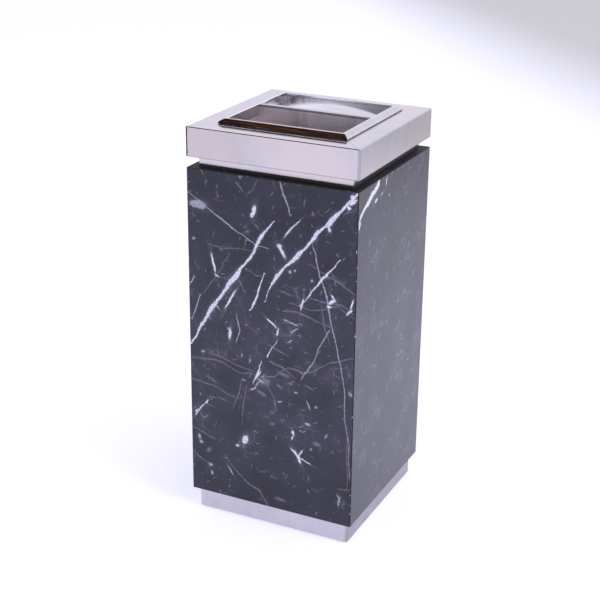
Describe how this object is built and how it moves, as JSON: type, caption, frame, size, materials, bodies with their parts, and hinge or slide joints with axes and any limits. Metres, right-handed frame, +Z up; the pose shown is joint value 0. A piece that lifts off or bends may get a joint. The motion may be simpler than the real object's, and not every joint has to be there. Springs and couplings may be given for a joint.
{
  "type": "ashtray bin",
  "caption": "Square free-standing litter bin clad in black veined marble, with a stainless plinth, a lift-off stainless lid, a litter mouth and a removable ash pan.",
  "frame": {"origin": "on the floor, under the middle of the bin", "axes": "+Z up, front face towards -Y, right side towards +X"},
  "size_m": [0.3, 0.3, 0.6922],
  "materials": {
    "stainless_satin": "fine satin brush",
    "stainless_polished": "mirror polish",
    "marble": "polished black marble with white veins",
    "galvanised_steel": "galvanised, spangled",
    "galvanised_wire": "bright galvanised wire",
    "painted_steel": "black semi-matt paint",
    "stainless_tab": "mill finish",
    "zinc_fixings": "zinc plated",
    "rubber": "black, matt",
    "grip_plastic": "moulded, matt",
    "adhesive": "cured construction adhesive"
  },
  "bodies": {
    "housing": {"plinth_skirt": "stainless_satin", "plinth_top_ring": "stainless_satin", "plinth_foot_ring": "stainless_satin", "base_plate": "galvanised_steel", "base_screws": "zinc_fixings", "base_nuts": "zinc_fixings", "top_frame": "painted_steel", "frame_rivets": "zinc_fixings", "adhesive_strips": "adhesive", "lid_gasket": "rubber", "marble_front": "marble", "marble_right": "marble", "marble_back": "marble", "marble_left": "marble", "corner_post_front_left": "painted_steel", "corner_post_front_right": "painted_steel", "corner_post_back_right": "painted_steel", "corner_post_back_left": "painted_steel", "rubber_foot_front_left": "rubber", "rubber_foot_front_right": "rubber", "rubber_foot_back_right": "rubber", "rubber_foot_back_left": "rubber"},
    "lid": {"lid_cap": "stainless_satin", "lid_under_plate": "stainless_satin", "lid_neck": "stainless_satin", "locating_tab_front": "stainless_tab", "locating_tab_right": "stainless_tab", "locating_tab_back": "stainless_tab", "locating_tab_left": "stainless_tab"},
    "ashtray_insert": {"insert_rim": "stainless_polished", "divider_bar": "stainless_polished", "litter_chute": "stainless_satin", "pan_well": "stainless_satin"},
    "ash_pan": {"ash_pan": "stainless_polished"},
    "bucket": {"bucket_wall_front": "galvanised_steel", "bucket_wall_right": "galvanised_steel", "bucket_wall_back": "galvanised_steel", "bucket_wall_left": "galvanised_steel", "bucket_floor": "galvanised_steel", "bucket_rim_wire": "galvanised_steel", "bucket_ear_left": "galvanised_steel", "bucket_ear_right": "galvanised_steel", "ear_rivets": "zinc_fixings"},
    "bail": {"bail_handle": "galvanised_wire", "bail_grip": "grip_plastic"}
  },
  "joints": [
    {"name": "lid_lift", "type": "slide", "parent": "housing", "child": "lid", "axis": [0, 0, 1], "range_m": [0, 1]},
    {"name": "insert_lift", "type": "slide", "parent": "lid", "child": "ashtray_insert", "axis": [0, 0, 1], "range_m": [0, 0.12]},
    {"name": "pan_lift", "type": "slide", "parent": "ashtray_insert", "child": "ash_pan", "axis": [0, 0, 1], "range_m": [0, 0.1]},
    {"name": "bucket_lift", "type": "slide", "parent": "housing", "child": "bucket", "axis": [0, 0, 1], "range_m": [0, 0.6]},
    {"name": "bail_swing", "type": "hinge", "parent": "bucket", "child": "bail", "pos_m": [0, 0, 0.4574], "axis": [-1, 0, 0], "range_deg": [0, 210]}
  ],
  "couplings": [
    {"joint": "bucket_lift", "follows": "lid_lift", "ratio": 0.6}
  ]
}
